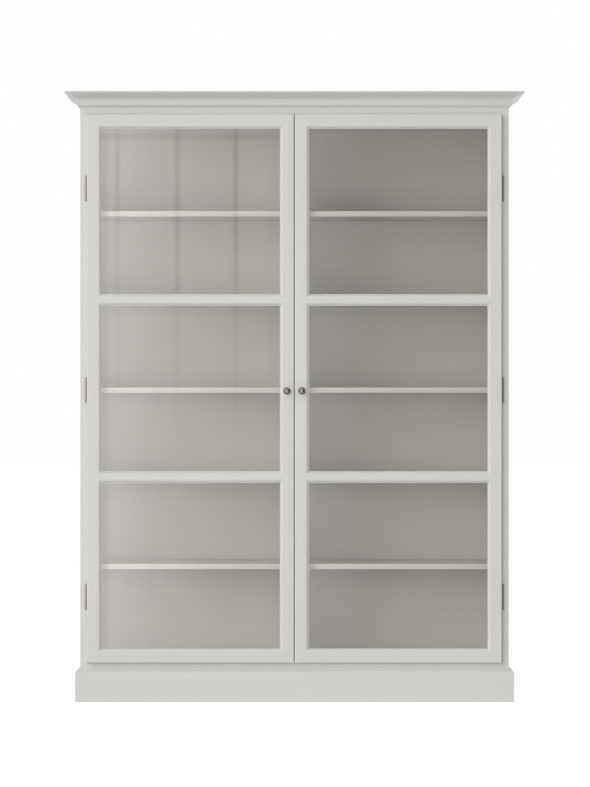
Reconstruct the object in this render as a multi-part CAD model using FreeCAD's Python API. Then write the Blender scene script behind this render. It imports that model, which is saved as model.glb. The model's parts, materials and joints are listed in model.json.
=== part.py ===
import FreeCAD, Part
import math
import os

# Tall bookcase with two glazed doors, painted, with a cove crown and a plinth. Lengths in millimetres.
# Origin: centre of the footprint, on the floor. X is the width, +Y the back, +Z up.

# Body
body_width = 1458.0
body_depth = 369.0
board_thickness = 18.0
housing_depth = 6.0
back_thickness = 8.0
back_lap = 9.0
dust_board_thickness = 12.0
ceiling_rise = 5.0

# Plinth
plinth_height = 106.0
plinth_thickness = 17.0
plinth_chamfer = 6.0
plinth_lap = 30.0

# Crown
crown_base_height = 2022.5
crown_height = 51.5
crown_projection = 51.0
crown_foot = 11.0
crown_bevel = 7.0
crown_fascia = 13.0
cove_radius = 11.0
crown_lip = 5.0
crown_lip_rise = 2.5
crown_face = 5.0

# Face frame and what the doors leave in view of it
frame_thickness = 22.0
side_reveal = 24.0
top_reveal = 25.0
bottom_reveal = 27.0
door_lap = 24.0

# Doors
door_thickness = 22.0
door_gap = 1.0
meeting_gap = 1.6
stile_width = 49.0
end_rail_width = 49.5
glazing_rail_width = 39.0
edge_radius = 5.5
sticking_width = 9.5
sticking_lip = 3.0
quirk_depth = 1.5
tenon_length = 25.0
tenon_thickness = 6.0
tenon_shoulder = 8.0
pane_names = ("bottom", "middle", "top")
glazing_rail_names = ("lower", "upper")

# Glass and its beads
glass_seat = 12.0
glass_thickness = 4.0
glass_clearance = 1.0
rebate_width = 8.0
bead_radius = 4.0

# Shelves and the pins under them
shelf_thickness = 18.0
shelf_drop = 5.5
shelf_end_gap = 1.0
shelf_setback = 3.0
shelf_back_gap = 2.0
peg_radius = 2.5
peg_length = 7.5
peg_clearance = 0.05
peg_hole_spare = 0.5
pad_radius = 4.5
pad_length = 8.0
pad_flat_height = 2.0
peg_inset = 50.0

# Butt hinges, with their heights above the door's lower edge
bottom_hinge_height = 223.0
middle_hinge_height = 927.0
top_hinge_height = 1613.0
leaf_length = 85.0
leaf_width = 20.0
leaf_thickness = 1.5
knuckle_radius = 4.0
knuckle_count = 5
knuckle_gap = 0.3
hinge_clearance = 0.3
hinge_pin_radius = 2.0
hinge_pin_clearance = 0.05
pin_head_radius = 3.2
pin_head_height = 1.5
screw_radius = 1.7
screw_length = 14.0
screw_line = 13.0
screw_spread_shares = (-0.32, 0.0, 0.32)

# Knobs
knob_height = 924.0
knob_radius = 12.5
knob_length = 25.0
knob_foot_radius = 7.0
knob_foot_height = 2.0
knob_neck_radius = 4.5
knob_neck_share = 0.3
knob_rim_share = 0.66
knob_rim_round = 4.1
stud_radius = 2.0
stud_length = 16.0
stud_clearance = 0.05

# Magnetic catches and strike plates
catch_width = 14.0
catch_depth = 30.0
catch_height = 44.0
catch_round = 3.0
pole_inset = 3.0
pole_recess = 2.0
strike_thickness = 0.8
strike_screw_radius = 1.5
strike_screw_length = 12.0
strike_screw_share = 0.36

# One length past the surface for every cut
overrun = 2.0

# Levels and planes that follow from the sizes
half_width = body_width / 2
back_y = (body_depth + crown_projection) / 2
frame_y = back_y - body_depth
carcass_y = frame_y + frame_thickness
back_panel_y = back_y - back_thickness
carcass_top = crown_base_height + crown_height - dust_board_thickness
side_face = half_width - board_thickness
partition_face = board_thickness / 2
door_bottom = plinth_height + bottom_reveal
door_top = crown_base_height - top_reveal
door_outer = half_width - side_reveal
door_inner = meeting_gap / 2
door_back = frame_y - door_gap
door_front = door_back - door_thickness
floor_z = door_bottom + door_lap
frame_rail_z = door_top - door_lap
ceiling_z = door_top + ceiling_rise
frame_stile_width = side_reveal + door_lap
pane_count = len(pane_names)
rails_height = 2 * end_rail_width + (pane_count - 1) * glazing_rail_width
sight_height = (door_top - door_bottom - rails_height) / pane_count
pane_pitch = sight_height + glazing_rail_width
first_sight_z = door_bottom + end_rail_width
shelf_front = carcass_y + shelf_setback
shelf_back = back_panel_y - shelf_back_gap
shelf_count = 2 * pane_count - 1
shelf_pitch = pane_pitch / 2
hinge_offset = knuckle_radius + hinge_clearance
hinge_x = -door_outer - hinge_offset
hinge_y = frame_y - door_gap / 2
hinge_heights = (bottom_hinge_height, middle_hinge_height, top_hinge_height)
screw_head_radius = screw_radius + leaf_thickness
diagonal_share = math.sqrt(0.5)


def point(x, y, z):
    """Position or direction."""
    return FreeCAD.Vector(x, y, z)


def block(x0, x1, y0, y1, z0, z1):
    """Square-edged board between two limits on each axis."""
    return Part.makeBox(x1 - x0, y1 - y0, z1 - z0, point(x0, y0, z0))


def rod(radius, length, start, direction):
    """Round bar from a start point."""
    return Part.makeCylinder(radius, length, start, direction)


def mirrored(shape):
    """The same piece on the other side of the centre plane."""
    return shape.mirror(point(0, 0, 0), point(1, 0, 0))


def section(place, steps):
    """Closed face through steps. A step is a point, or a (middle, end) pair for an arc."""
    edges = []
    here = place(*steps[0])
    for step in steps[1:] + steps[:1]:
        if isinstance(step[0], tuple):
            middle = place(*step[0])
            there = place(*step[1])
            edges.append(Part.Arc(here, middle, there).toShape())
        else:
            there = place(*step)
            edges.append(Part.LineSegment(here, there).toShape())
        here = there
    return Part.Face(Part.Wire(edges))


def mitred_bar(place, steps, length, start_slope, end_slope):
    """Moulding run along s, with ends that shift by their slope times the projection p.

    place(p, h, s) gives the position of projection p and height h at run s.
    """
    points = [step[1] if isinstance(step[0], tuple) else step for step in steps]
    reach = max(p for p, h in points) + overrun
    low = min(h for p, h in points) - overrun
    high = max(h for p, h in points) + overrun
    run = place(0, 0, length + 2 * reach) - place(0, 0, 0)
    bar = section(lambda p, h: place(p, h, -reach), steps).extrude(run)
    plan = [(0, 0), (0, length), (reach, length + end_slope * reach), (reach, start_slope * reach)]
    keep = section(lambda p, s: place(p, low, s), plan)
    return bar.common(keep.extrude(place(0, high, 0) - place(0, low, 0)))


def crown_steps():
    """Crown section: bevelled foot, upright band, hollow, long slope and a lip that leans out to a flat face.

    The slope is tangent to the hollow, which fixes how far the hollow turns.
    """
    band_top = crown_bevel + crown_fascia
    cove_axis = crown_foot + cove_radius
    slope_out = crown_projection - crown_lip
    slope_top = crown_height - crown_face - crown_lip_rise
    out, rise = slope_out - cove_axis, slope_top - band_top
    turn = math.pi - math.atan2(rise, out) - math.acos(cove_radius / math.hypot(out, rise))

    def hollow(angle):
        return cove_axis - cove_radius * math.cos(angle), band_top + cove_radius * math.sin(angle)

    return [
        (0, 0),
        (crown_foot - crown_bevel, 0),
        (crown_foot, crown_bevel),
        (crown_foot, band_top),
        (hollow(turn / 2), hollow(turn)),
        (slope_out, slope_top),
        (crown_projection, crown_height - crown_face),
        (crown_projection, crown_height),
        (0, crown_height),
    ]


def plinth_steps():
    """Plinth section: a board with its top outer edge chamfered."""
    return [
        (0, 0),
        (plinth_thickness, 0),
        (plinth_thickness, plinth_height - plinth_chamfer),
        (plinth_thickness - plinth_chamfer, plinth_height),
        (0, plinth_height),
    ]


def front_moulding(steps, base_z):
    """Length across the front, mitred at both corners."""

    def place(p, h, s):
        return point(s - half_width, frame_y - p, base_z + h)

    return mitred_bar(place, steps, body_width, -1, 1)


def left_moulding(steps, base_z):
    """Return along the left side, mitred at the front and square at the back."""

    def place(p, h, s):
        return point(-half_width - p, frame_y + s, base_z + h)

    return mitred_bar(place, steps, body_depth, -1, 0)


def shelf_level(index):
    """Middle of a shelf's edge: a little below the middle of a pane or of a glazing rail."""
    return first_sight_z + sight_height / 2 - shelf_drop + index * shelf_pitch


def pin_places(face, inward):
    """Flat tops of the pins on one panel face of the left bay."""
    places = []
    for index in range(shelf_count):
        top = shelf_level(index) - shelf_thickness / 2
        for y in (shelf_front + peg_inset, shelf_back - peg_inset):
            places.append((face, inward, y, top))
    return places


def shelf_pin(face, inward, y, top):
    """Peg in the panel and a round pad, flat on top, that carries the shelf."""
    centre = point(face, y, top - pad_flat_height)
    peg = rod(peg_radius, peg_length, centre, point(-inward, 0, 0))
    pad = rod(pad_radius, pad_length, centre, point(inward, 0, 0))
    tip = face + inward * pad_length
    low, high = min(face, tip) - overrun, max(face, tip) + overrun
    above = block(low, high, y - pad_radius, y + pad_radius, top, top + pad_radius)
    return pad.cut(above).fuse(peg)


def pin_holes(places):
    """Blind holes for the pegs."""
    depth = peg_length + peg_hole_spare
    holes = []
    for face, inward, y, top in places:
        mouth = point(face, y, top - pad_flat_height)
        holes.append(rod(peg_radius + peg_clearance, depth, mouth, point(-inward, 0, 0)))
    return holes


def left_side_panel():
    """Side board with housings for the top and bottom, a rebate for the back and pin holes."""
    panel = block(-half_width, -side_face, carcass_y, back_y, 0, carcass_top)
    low = floor_z - board_thickness
    housing_x = -side_face - housing_depth
    cuts = [
        block(housing_x, -side_face, carcass_y, back_y, low, floor_z),
        block(housing_x, -side_face, carcass_y, back_y, ceiling_z, ceiling_z + board_thickness),
        block(-side_face - back_lap, -side_face, back_panel_y, back_y, low, carcass_top),
    ]
    return panel.cut(cuts + pin_holes(pin_places(-side_face, 1)))


def housed_panel(z):
    """Top or bottom board, housed in both sides."""
    reach = side_face + housing_depth
    return block(-reach, reach, carcass_y, back_panel_y, z, z + board_thickness)


def centre_partition():
    """Upright between the two bays, notched round the top frame rail, with pin holes on both faces."""
    panel = block(-partition_face, partition_face, frame_y, back_panel_y, floor_z, ceiling_z)
    notch = block(-partition_face, partition_face, frame_y, carcass_y, frame_rail_z, ceiling_z)
    holes = pin_holes(pin_places(-partition_face, -1))
    return panel.cut([notch] + holes + [mirrored(hole) for hole in holes])


def back_panel():
    """Thin board let into the sides, behind the top, the bottom and the partition."""
    reach = side_face + back_lap
    return block(-reach, reach, back_panel_y, back_y, floor_z - board_thickness, carcass_top)


def dust_board():
    """Board that closes the top inside the crown."""
    top = carcass_top + dust_board_thickness
    return block(-half_width, half_width, frame_y, back_y, carcass_top, top)


def left_frame_stile():
    """Frame upright, let in for the hinge leaves and grooved for their barrels."""
    stile = block(-half_width, frame_stile_width - half_width, frame_y, carcass_y, 0, carcass_top)
    groove_length = leaf_length + 2 * (pin_head_height + hinge_clearance)
    cuts = []
    for z in hinge_levels():
        start = point(hinge_x, hinge_y, z - groove_length / 2)
        cuts.append(rod(knuckle_radius + hinge_clearance, groove_length, start, point(0, 0, 1)))
        cuts.append(leaf_plate(z, frame_y))
        cuts.extend(screw_shank(x, frame_y + leaf_thickness, height, 1) for x, height in screw_places(z))
    return stile.cut(cuts)


def frame_rail(low, high):
    """Frame rail between the two frame stiles."""
    reach = half_width - frame_stile_width
    return block(-reach, reach, frame_y, carcass_y, low, high)


def left_shelf(index):
    """Loose shelf in the left bay."""
    z = shelf_level(index)
    left = shelf_end_gap - side_face
    right = -partition_face - shelf_end_gap
    return block(left, right, shelf_front, shelf_back, z - shelf_thickness / 2, z + shelf_thickness / 2)


def shelf_pins():
    """Every pin of both bays."""
    places = pin_places(-side_face, 1) + pin_places(-partition_face, -1)
    pins = [shelf_pin(*place) for place in places]
    return pins + [mirrored(pin) for pin in pins]


def hinge_levels():
    """Middles of the three hinges."""
    return [door_bottom + height for height in hinge_heights]


def leaf_plate(z, y):
    """Flat of a leaf, between y and its thickness behind."""
    low = z - leaf_length / 2
    return block(hinge_x, hinge_x + leaf_width, y, y + leaf_thickness, low, low + leaf_length)


def screw_places(z):
    """Positions of a leaf's screws, as (x, z)."""
    return [(hinge_x + screw_line, z + share * leaf_length) for share in screw_spread_shares]


def screw_shank(x, y, z, way):
    """Part of a screw that is in the wood, driven towards +Y or -Y."""
    return rod(screw_radius, screw_length, point(x, y, z), point(0, way, 0))


def screw_head(x, y, z, way):
    """Countersunk head, as deep as the leaf."""
    start = point(x, y, z)
    return Part.makeCone(screw_head_radius, screw_radius, leaf_thickness, start, point(0, way, 0))


def leaf_screws(z, y, way):
    """Screws of one leaf whose outer face is at y."""
    screws = []
    for x, height in screw_places(z):
        shank = screw_shank(x, y + way * leaf_thickness, height, way)
        screws.append(screw_head(x, y, height, way).fuse(shank))
    return screws


def hinge_leaf(z, plate_y, face_y, way, first_knuckle):
    """Leaf with every second knuckle of the barrel, cleared for the other leaf's knuckles."""
    pitch = leaf_length / knuckle_count
    low = z - leaf_length / 2
    up = point(0, 0, 1)
    clear_radius = knuckle_radius + hinge_clearance
    leaf = leaf_plate(z, plate_y)
    own = []
    cuts = [rod(hinge_pin_radius + hinge_pin_clearance, leaf_length, point(hinge_x, hinge_y, low), up)]
    for index in range(knuckle_count):
        base = low + index * pitch
        if index % 2 == first_knuckle:
            start = point(hinge_x, hinge_y, base + knuckle_gap / 2)
            own.append(rod(knuckle_radius, pitch - knuckle_gap, start, up))
        else:
            y0, y1 = hinge_y - clear_radius, hinge_y + clear_radius
            x0, x1 = hinge_x - clear_radius, hinge_x + clear_radius
            z0, z1 = base - knuckle_gap / 2, base + pitch + knuckle_gap / 2
            cuts.append(block(x0, x1, y0, y1, z0, z1))
    cuts.extend(screw_head(x, face_y, height, way) for x, height in screw_places(z))
    return leaf.fuse(own).cut(cuts).removeSplitter()


def frame_leaf(z):
    """Leaf let into the frame, with the outer and middle knuckles."""
    return hinge_leaf(z, frame_y, frame_y, 1, 0)


def door_leaf(z):
    """Leaf let into the back of the door."""
    return hinge_leaf(z, door_back - leaf_thickness, door_back, -1, 1)


def hinge_pin(z):
    """Pin with a flat head at each end of the barrel."""
    up = point(0, 0, 1)
    low = z - leaf_length / 2
    shaft = rod(hinge_pin_radius, leaf_length, point(hinge_x, hinge_y, low), up)
    foot = rod(pin_head_radius, pin_head_height, point(hinge_x, hinge_y, low - pin_head_height), up)
    head = rod(pin_head_radius, pin_head_height, point(hinge_x, hinge_y, low + leaf_length), up)
    return shaft.fuse([foot, head])


def moulded_bar(place, width, run):
    """Door member: flat face, an ovolo with a quirk on its sight edge and a glass rebate behind.

    place(u, v) gives the position of u across from the outer edge and v behind the face.
    """
    ovolo = sticking_width - sticking_lip
    start = width - sticking_width
    swing = ovolo * diagonal_share
    lip_depth = quirk_depth + ovolo
    steps = [
        (0, door_thickness),
        (0, 0),
        (start, 0),
        (start, quirk_depth),
        ((start + swing, lip_depth - swing), (start + ovolo, lip_depth)),
        (width, lip_depth),
        (width, glass_seat),
        (width - rebate_width, glass_seat),
        (width - rebate_width, door_thickness),
    ]
    return section(place, steps).extrude(run)


def door_blank():
    """Outside of the left door, with its front edges rounded over."""
    blank = block(-door_outer, -door_inner, door_front, door_back, door_bottom, door_top)
    front = [edge for edge in blank.Edges if edge.BoundBox.YMax < door_front + edge_radius]
    return blank.makeFillet(edge_radius, front)


def stile_bars():
    """Hinge stile and meeting stile of the left door, before their joints are cut."""
    up = point(0, 0, door_top - door_bottom)

    def hinge_place(u, v):
        return point(u - door_outer, door_front + v, door_bottom)

    def meeting_place(u, v):
        return point(-door_inner - u, door_front + v, door_bottom)

    return moulded_bar(hinge_place, stile_width, up), moulded_bar(meeting_place, stile_width, up)


def rail_bar(low, way, width):
    """Length of rail between the stiles, with its outer edge at low and its sight edge above or below."""
    left = stile_width - sticking_width - door_outer
    right = sticking_width - stile_width - door_inner

    def place(u, v):
        return point(left, door_front + v, low + way * u)

    return moulded_bar(place, width, point(right - left, 0, 0))


def rail_tenons(low, high):
    """Stub tenons at both ends of a rail."""
    front = door_front + glass_seat
    shoulder = stile_width - rebate_width
    left = shoulder - door_outer
    right = -door_inner - shoulder
    return [
        block(left - tenon_length, left, front, front + tenon_thickness, low, high),
        block(right, right + tenon_length, front, front + tenon_thickness, low, high),
    ]


def rail_layout():
    """Bars and tenon limits of the left door's rails, by name."""
    layout = {}
    low_end, high_end = door_bottom + end_rail_width, door_top - end_rail_width
    layout["bottom_rail"] = (
        rail_bar(door_bottom, 1, end_rail_width),
        rail_tenons(door_bottom + tenon_shoulder, low_end - rebate_width),
    )
    layout["top_rail"] = (
        rail_bar(door_top, -1, end_rail_width),
        rail_tenons(high_end + rebate_width, door_top - tenon_shoulder),
    )
    for index, name in enumerate(glazing_rail_names):
        low = first_sight_z + sight_height + index * pane_pitch
        high = low + glazing_rail_width
        bar = rail_bar(low, 1, glazing_rail_width).common(rail_bar(high, -1, glazing_rail_width))
        layout[name + "_glazing_rail"] = (bar, rail_tenons(low + rebate_width, high - rebate_width))
    return layout


def door_frame():
    """Stiles with mortises, and rails coped to the stiles' moulding with tenons on their ends."""
    hinge_bar, meeting_bar = stile_bars()
    blank = door_blank()
    pieces = {}
    mortises = []
    for name, (bar, tenons) in rail_layout().items():
        coped = bar.cut([hinge_bar, meeting_bar])
        pieces[name] = coped.fuse(tenons).common(blank).removeSplitter()
        mortises.extend(tenons)
    pieces["hinge_stile"] = hinge_bar.common(blank).cut(mortises + door_hinge_cuts())
    pieces["meeting_stile"] = meeting_bar.common(blank).cut(mortises + [stud_hole()] + strike_screws())
    return pieces


def door_hinge_cuts():
    """Recesses for the door's hinge leaves and holes for their screws."""
    cuts = []
    for z in hinge_levels():
        cuts.append(leaf_plate(z, door_back - leaf_thickness))
        cuts.extend(screw_shank(x, door_back - leaf_thickness, height, -1) for x, height in screw_places(z))
    return cuts


def sight_limits(index):
    """Sight opening of a pane, as (left, right, low, high)."""
    low = first_sight_z + index * pane_pitch
    return stile_width - door_outer, -door_inner - stile_width, low, low + sight_height


def pane(index):
    """Sheet of glass on its seat in the rebate."""
    left, right, low, high = sight_limits(index)
    edge = rebate_width - glass_clearance
    front = door_front + glass_seat
    back = front + glass_thickness
    return block(left - edge, right + edge, front, back, low - edge, high + edge)


def beads(index):
    """Four mitred beads behind one pane, rounded on their inner edge."""
    left, right, low, high = sight_limits(index)
    left, right = left - rebate_width, right + rebate_width
    low, high = low - rebate_width, high + rebate_width
    front = door_front + glass_seat + glass_thickness
    depth = door_back - front
    flat = rebate_width - bead_radius
    swing = bead_radius * diagonal_share
    steps = [
        (0, 0),
        (rebate_width, 0),
        (rebate_width, depth - bead_radius),
        ((flat + swing, depth - bead_radius + swing), (flat, depth)),
        (0, depth),
    ]
    places = [
        (lambda p, h, s: point(left + s, front + h, low + p), right - left),
        (lambda p, h, s: point(left + s, front + h, high - p), right - left),
        (lambda p, h, s: point(left + p, front + h, low + s), high - low),
        (lambda p, h, s: point(right - p, front + h, low + s), high - low),
    ]
    return [mitred_bar(place, steps, length, 1, -1) for place, length in places]


def knob_centre():
    """Point on the left door's face where the knob stands."""
    return point(-door_inner - stile_width / 2, door_front, door_bottom + knob_height)


def stud_hole():
    """Hole for the knob's stud."""
    depth = stud_length + peg_hole_spare
    return rod(stud_radius + stud_clearance, depth, knob_centre(), point(0, 1, 0))


def knob():
    """Turned mushroom knob with a hollow neck on a round foot, and its stud in the stile."""
    centre = knob_centre()

    def place(r, out):
        return point(centre.x + r, centre.y - out, centre.z)

    neck = knob_neck_share * knob_length
    rim = knob_rim_share * knob_length
    rim_axis = knob_radius - knob_rim_round
    swing = knob_rim_round * diagonal_share
    dome_base = rim_axis + swing
    dome_height = knob_length - rim - swing
    dome_radius = (dome_base**2 + dome_height**2) / (2 * dome_height)
    halfway = dome_base / 2
    halfway_out = knob_length - dome_radius + math.sqrt(dome_radius**2 - halfway**2)
    steps = [
        (0, -stud_length),
        (stud_radius, -stud_length),
        (stud_radius, 0),
        (knob_foot_radius, 0),
        (knob_foot_radius, knob_foot_height),
        ((knob_neck_radius, neck), (rim_axis, rim - knob_rim_round)),
        ((knob_radius, rim), (dome_base, rim + swing)),
        ((halfway, halfway_out), (0, knob_length)),
    ]
    return section(place, steps).revolve(centre, point(0, 1, 0), 360)


def catch_level():
    """Height of the catches: midway between the middle shelf and the one above."""
    return shelf_level(shelf_count // 2) + shelf_pitch / 2


def left_catch():
    """Catch housing on the partition, with a magnet between two pole strips at its mouth."""
    z = catch_level()
    left = -partition_face - catch_width
    low, high = z - catch_height / 2, z + catch_height / 2
    housing = block(left, -partition_face, frame_y, frame_y + catch_depth, low, high)
    free = [edge for edge in housing.Edges if edge.BoundBox.XMax < left + catch_round]
    corners = [edge for edge in free if edge.BoundBox.YLength > catch_round]
    housing = housing.makeFillet(catch_round, corners)
    slot_left, slot_right = left + pole_inset, -partition_face - pole_inset
    slot_low, slot_high = low + pole_inset * 2, high - pole_inset * 2
    return housing.cut(block(slot_left, slot_right, frame_y, frame_y + pole_recess, slot_low, slot_high))


def strike_plate():
    """Steel plate on the back of the left door's meeting stile, facing the catch."""
    z = catch_level()
    left = -partition_face - catch_width
    low, high = z - catch_height / 2, z + catch_height / 2
    plate = block(left, -partition_face, door_back, door_back + strike_thickness, low, high)
    return plate.cut(strike_screws())


def strike_screws():
    """Two countersunk screws, flush with the left door's strike plate."""
    x = -partition_face - catch_width / 2
    face_y = door_back + strike_thickness
    into = point(0, -1, 0)
    screws = []
    for side in (-1, 1):
        z = catch_level() + side * strike_screw_share * catch_height
        head_radius = strike_screw_radius + strike_thickness
        head = Part.makeCone(head_radius, strike_screw_radius, strike_thickness, point(x, face_y, z), into)
        screws.append(head.fuse(rod(strike_screw_radius, strike_screw_length, point(x, door_back, z), into)))
    return screws


def left_door():
    """Every piece of the left door, by name."""
    pieces = door_frame()
    for index, name in enumerate(pane_names):
        pieces[name + "_pane"] = pane(index)
    all_beads = []
    leaves = []
    screws = strike_screws()
    for index in range(pane_count):
        all_beads.extend(beads(index))
    for z in hinge_levels():
        leaves.append(door_leaf(z))
        screws.extend(leaf_screws(z, door_back, -1))
    pieces["glazing_beads"] = Part.makeCompound(all_beads)
    pieces["hinge_leaves"] = Part.makeCompound(leaves)
    pieces["screws"] = Part.makeCompound(screws)
    pieces["knob"] = knob()
    pieces["strike_plate"] = strike_plate()
    return pieces


def carcass():
    """Every fixed piece, by name."""
    side = left_side_panel()
    stile = left_frame_stile()
    plinth_return = left_moulding(plinth_steps(), 0)
    crown_return = left_moulding(crown_steps(), crown_base_height)
    pieces = {
        "left_side_panel": side,
        "right_side_panel": mirrored(side),
        "bottom_panel": housed_panel(floor_z - board_thickness),
        "top_panel": housed_panel(ceiling_z),
        "centre_partition": centre_partition(),
        "back_panel": back_panel(),
        "dust_board": dust_board(),
        "left_frame_stile": stile,
        "right_frame_stile": mirrored(stile),
        "bottom_frame_rail": frame_rail(plinth_height - plinth_lap, floor_z),
        "top_frame_rail": frame_rail(frame_rail_z, carcass_top),
        "plinth_front": front_moulding(plinth_steps(), 0),
        "plinth_left_return": plinth_return,
        "plinth_right_return": mirrored(plinth_return),
        "crown_front": front_moulding(crown_steps(), crown_base_height),
        "crown_left_return": crown_return,
        "crown_right_return": mirrored(crown_return),
        "shelf_pins": Part.makeCompound(shelf_pins()),
        "magnetic_catches": Part.makeCompound([left_catch(), mirrored(left_catch())]),
    }
    for index in range(shelf_count):
        shelf = left_shelf(index)
        pieces["left_shelf_%d" % (index + 1)] = shelf
        pieces["right_shelf_%d" % (index + 1)] = mirrored(shelf)
    return pieces


def fixed_hinge_pieces():
    """Frame leaves, pins and frame screws of both doors' hinges, by name."""
    leaves = [frame_leaf(z) for z in hinge_levels()]
    pins = [hinge_pin(z) for z in hinge_levels()]
    screws = [screw for z in hinge_levels() for screw in leaf_screws(z, frame_y, 1)]
    groups = {"frame_hinge_leaves": leaves, "hinge_pins": pins, "frame_hinge_screws": screws}
    return {name: Part.makeCompound(group + [mirrored(one) for one in group]) for name, group in groups.items()}


def main():
    """Builds every piece and writes one file for each."""
    pieces = carcass()
    pieces.update(fixed_hinge_pieces())
    for name, shape in left_door().items():
        pieces["left_door_" + name] = shape
        pieces["right_door_" + name] = mirrored(shape)
    os.makedirs("parts", exist_ok=True)
    for name, shape in pieces.items():
        shape.exportStep("parts/" + name + ".step")
    print(len(pieces), "pieces")


main()
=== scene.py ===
import json
import math

import bpy
import numpy as np
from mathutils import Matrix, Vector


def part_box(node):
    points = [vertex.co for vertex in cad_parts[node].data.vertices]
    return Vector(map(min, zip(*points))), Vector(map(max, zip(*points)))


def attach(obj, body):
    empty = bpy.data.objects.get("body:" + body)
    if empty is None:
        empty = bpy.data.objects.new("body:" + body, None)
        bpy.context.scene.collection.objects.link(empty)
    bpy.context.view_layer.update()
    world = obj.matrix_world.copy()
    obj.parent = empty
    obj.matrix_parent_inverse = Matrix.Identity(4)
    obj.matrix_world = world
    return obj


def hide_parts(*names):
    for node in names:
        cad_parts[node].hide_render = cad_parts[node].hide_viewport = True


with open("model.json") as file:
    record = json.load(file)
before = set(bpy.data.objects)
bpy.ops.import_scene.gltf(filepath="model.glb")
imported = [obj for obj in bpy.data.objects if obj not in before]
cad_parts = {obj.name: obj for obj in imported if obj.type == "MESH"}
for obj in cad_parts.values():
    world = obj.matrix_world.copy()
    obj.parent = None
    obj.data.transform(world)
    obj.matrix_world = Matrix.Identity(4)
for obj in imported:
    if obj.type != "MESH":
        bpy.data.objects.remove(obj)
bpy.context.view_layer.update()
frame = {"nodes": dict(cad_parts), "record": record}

bl_info = {
    "name": "Glazed bookcase",
    "version": (1, 0, 0),
    "blender": (4, 5, 0),
    "location": "View3D > Sidebar > Bookcase",
    "description": "Dresses a painted bookcase with glass doors and sets a plain studio round it",
    "category": "Object",
}

MM = 0.001
PHOTO_HEIGHT_PX = 787
SIDES = {"left": -1, "right": 1}
SHELVES_PER_BAY = 5
UP = np.array([0.0, 0.0, 1.0])
# Hinge levels above the floor, hinge axes from the middle, and screw rows from the axes.
HINGE_LEVELS = (0.356, 1.060, 1.746)
HINGE_AXIS = 0.7093
SCREW_LINE = 13 * MM
LEAF_LENGTH = 85 * MM
HINGE_SCREW_LENGTH = 14 * MM
STRIKE_SCREW_LENGTH = 12 * MM
# Seams and cross bar of the mirrored screens, and the glow of the dark flags beside them.
SEAM_PLACES = (-0.720, -0.476, -0.239)
SEAM_WIDTH = 10 * MM
BAR_HEIGHT = 2.091
FLAG_GLOW = 0.03


def linear(hex_code):
    """sRGB hex to linear red, green and blue."""
    srgb = np.array([int(hex_code[i:i + 2], 16) for i in (1, 3, 5)]) / 255
    return tuple(np.where(srgb <= 0.04045, srgb / 12.92, ((srgb + 0.055) / 1.055) ** 2.4))


class BookcaseJoinery(bpy.types.PropertyGroup):
    """Sections of the mouldings and how far the paint softens their edges."""

    crown_foot: bpy.props.FloatProperty(
        name="Crown foot", description="How far the upright band stands from the frame", unit="LENGTH",
        default=11 * MM)
    crown_bevel: bpy.props.FloatProperty(
        name="Crown bevel", description="Bevel under the upright band", unit="LENGTH", default=7 * MM)
    crown_band: bpy.props.FloatProperty(
        name="Crown band", description="Height of the upright band", unit="LENGTH", default=13 * MM)
    cove_radius: bpy.props.FloatProperty(
        name="Cove radius", description="Radius of the hollow", unit="LENGTH", default=11 * MM)
    crown_lip: bpy.props.FloatProperty(
        name="Crown lip", description="How far the lip leans out past the slope", unit="LENGTH",
        default=5 * MM)
    crown_lip_rise: bpy.props.FloatProperty(
        name="Crown lip rise", description="Height over which the lip leans out", unit="LENGTH",
        default=2.5 * MM)
    crown_face: bpy.props.FloatProperty(
        name="Crown face", description="Height of the flat edge at the top", unit="LENGTH", default=5 * MM)
    plinth_chamfer: bpy.props.FloatProperty(
        name="Plinth chamfer", description="Chamfer on the plinth's top edge", unit="LENGTH", default=6 * MM)
    arris: bpy.props.FloatProperty(
        name="Arris", description="Softening of a painted moulding's edges", unit="LENGTH", default=0.9 * MM)
    shelf_arris: bpy.props.FloatProperty(
        name="Shelf arris", description="Rounding of a shelf's edges", unit="LENGTH", default=1.4 * MM)


class BookcaseHardware(bpy.types.PropertyGroup):
    """Sizes of the turned and screwed fittings."""

    knob_foot: bpy.props.FloatProperty(
        name="Knob foot", description="Radius of the knob's foot", unit="LENGTH", default=7 * MM)
    knob_neck: bpy.props.FloatProperty(
        name="Knob neck", description="Radius of the knob's waist", unit="LENGTH", default=4.5 * MM)
    knob_round: bpy.props.FloatProperty(
        name="Knob rim", description="Radius of the rim's section", unit="LENGTH", default=4.1 * MM)
    knob_length: bpy.props.FloatProperty(
        name="Knob length", description="From the door's face to the top of the dome", unit="LENGTH",
        default=25 * MM)
    screw_radius: bpy.props.FloatProperty(
        name="Screw radius", description="Shank of a hinge screw", unit="LENGTH", default=1.7 * MM)
    leaf_thickness: bpy.props.FloatProperty(
        name="Leaf thickness", description="Plate of a hinge leaf", unit="LENGTH", default=1.5 * MM)
    strike_screw_radius: bpy.props.FloatProperty(
        name="Strike screw radius", description="Shank of a strike plate's screw", unit="LENGTH",
        default=1.5 * MM)
    pin_radius: bpy.props.FloatProperty(
        name="Pin radius", description="Shaft of a hinge pin", unit="LENGTH", default=2 * MM)
    pin_head_radius: bpy.props.FloatProperty(
        name="Pin head radius", description="Domed ends of a hinge pin", unit="LENGTH", default=3.2 * MM)
    pin_head_height: bpy.props.FloatProperty(
        name="Pin head height", description="Rise of a hinge pin's dome", unit="LENGTH", default=1.5 * MM)


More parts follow.
